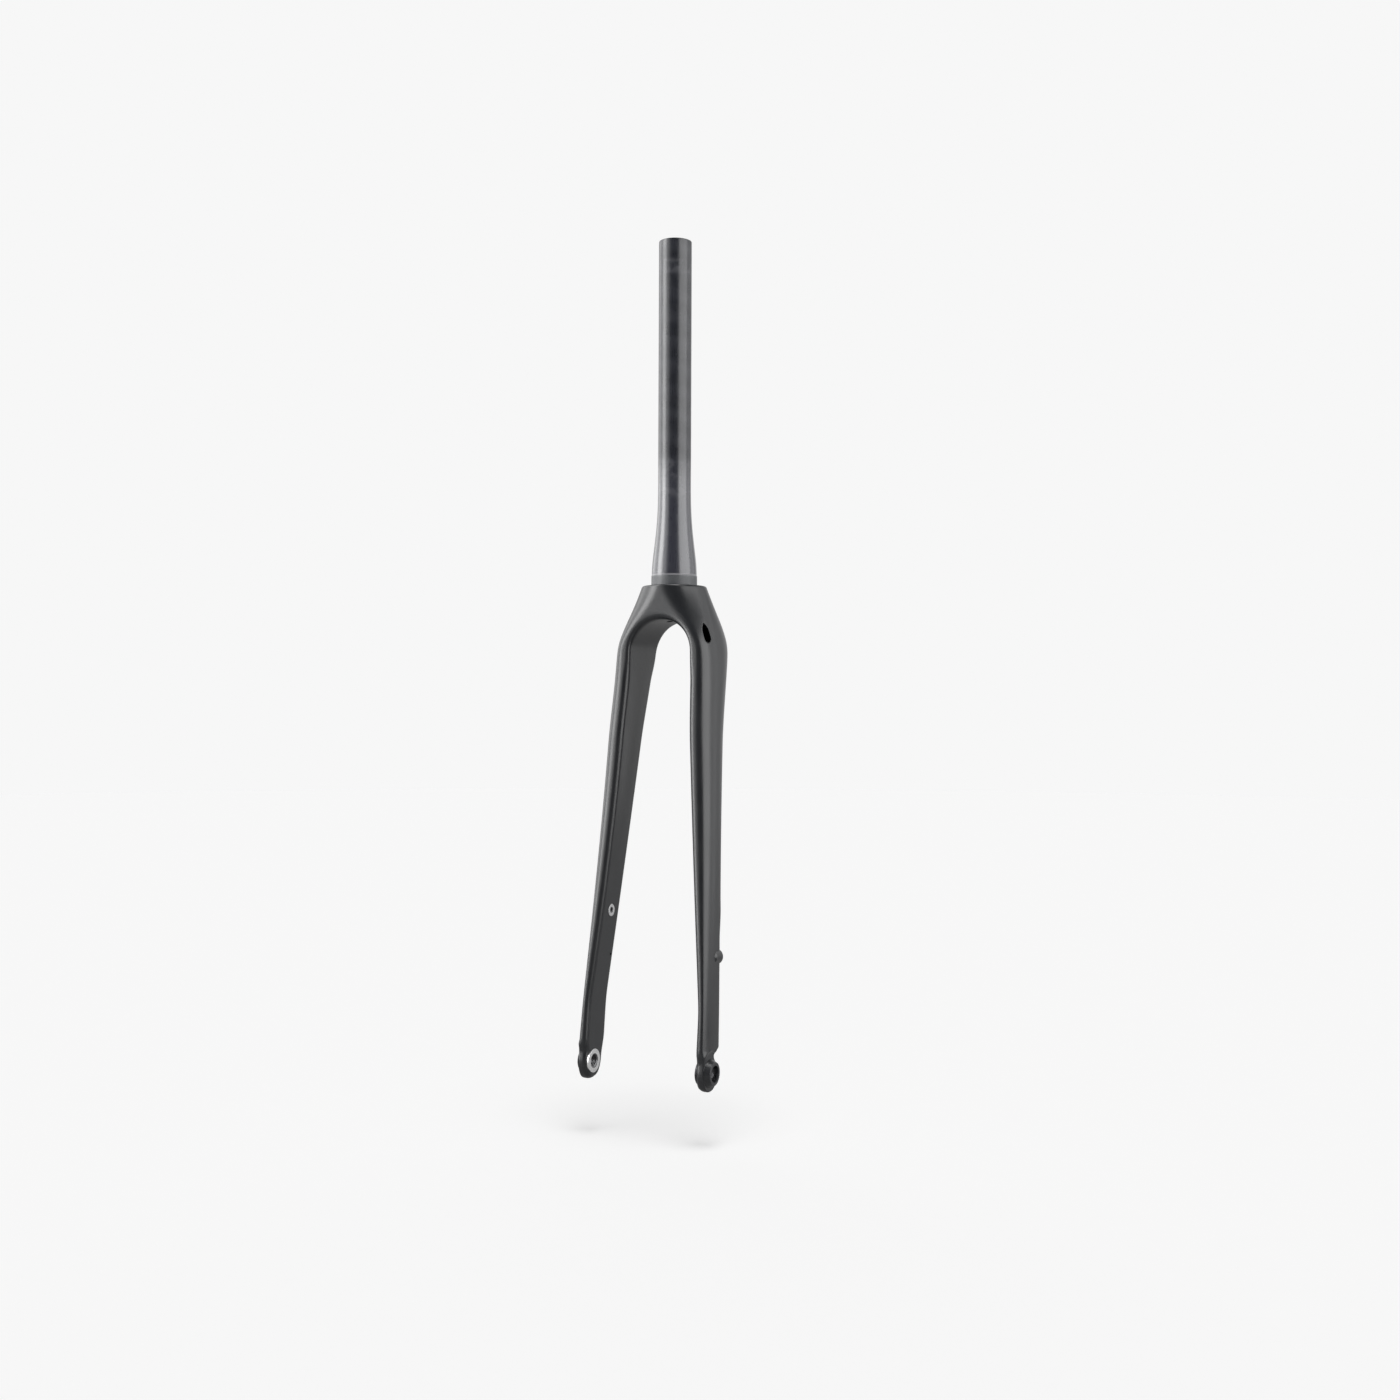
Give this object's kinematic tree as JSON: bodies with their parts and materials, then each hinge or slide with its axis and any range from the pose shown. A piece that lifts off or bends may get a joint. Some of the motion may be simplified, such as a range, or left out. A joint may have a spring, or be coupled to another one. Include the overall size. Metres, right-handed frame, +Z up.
{
  "type": "bicycle fork",
  "caption": "Carbon disc-brake fork with a tapered steerer, wide crown, through-axle ends, flat brake mount and a hose port.",
  "frame": {"origin": "centre of the crown ledge, on the steerer axis", "axes": "+Z up the steerer, -Y forward, +X to the rider's left, the brake side"},
  "size_m": [0.1253, 0.0895, 0.7223],
  "materials": {
    "raw_carbon": "gloss",
    "painted_carbon": "satin",
    "machined_aluminium": "machined",
    "stainless_insert": "brushed"
  },
  "bodies": {
    "root": {"steerer_tube": "raw_carbon", "crown_and_legs": "painted_carbon", "drive_side_axle_insert": "machined_aluminium", "brake_side_axle_insert": "machined_aluminium", "mudguard_eyelet_drive_side": "stainless_insert", "mudguard_eyelet_brake_side": "stainless_insert", "brake_mount_insert_upper": "stainless_insert", "brake_mount_insert_lower": "stainless_insert"}
  },
  "joints": []
}
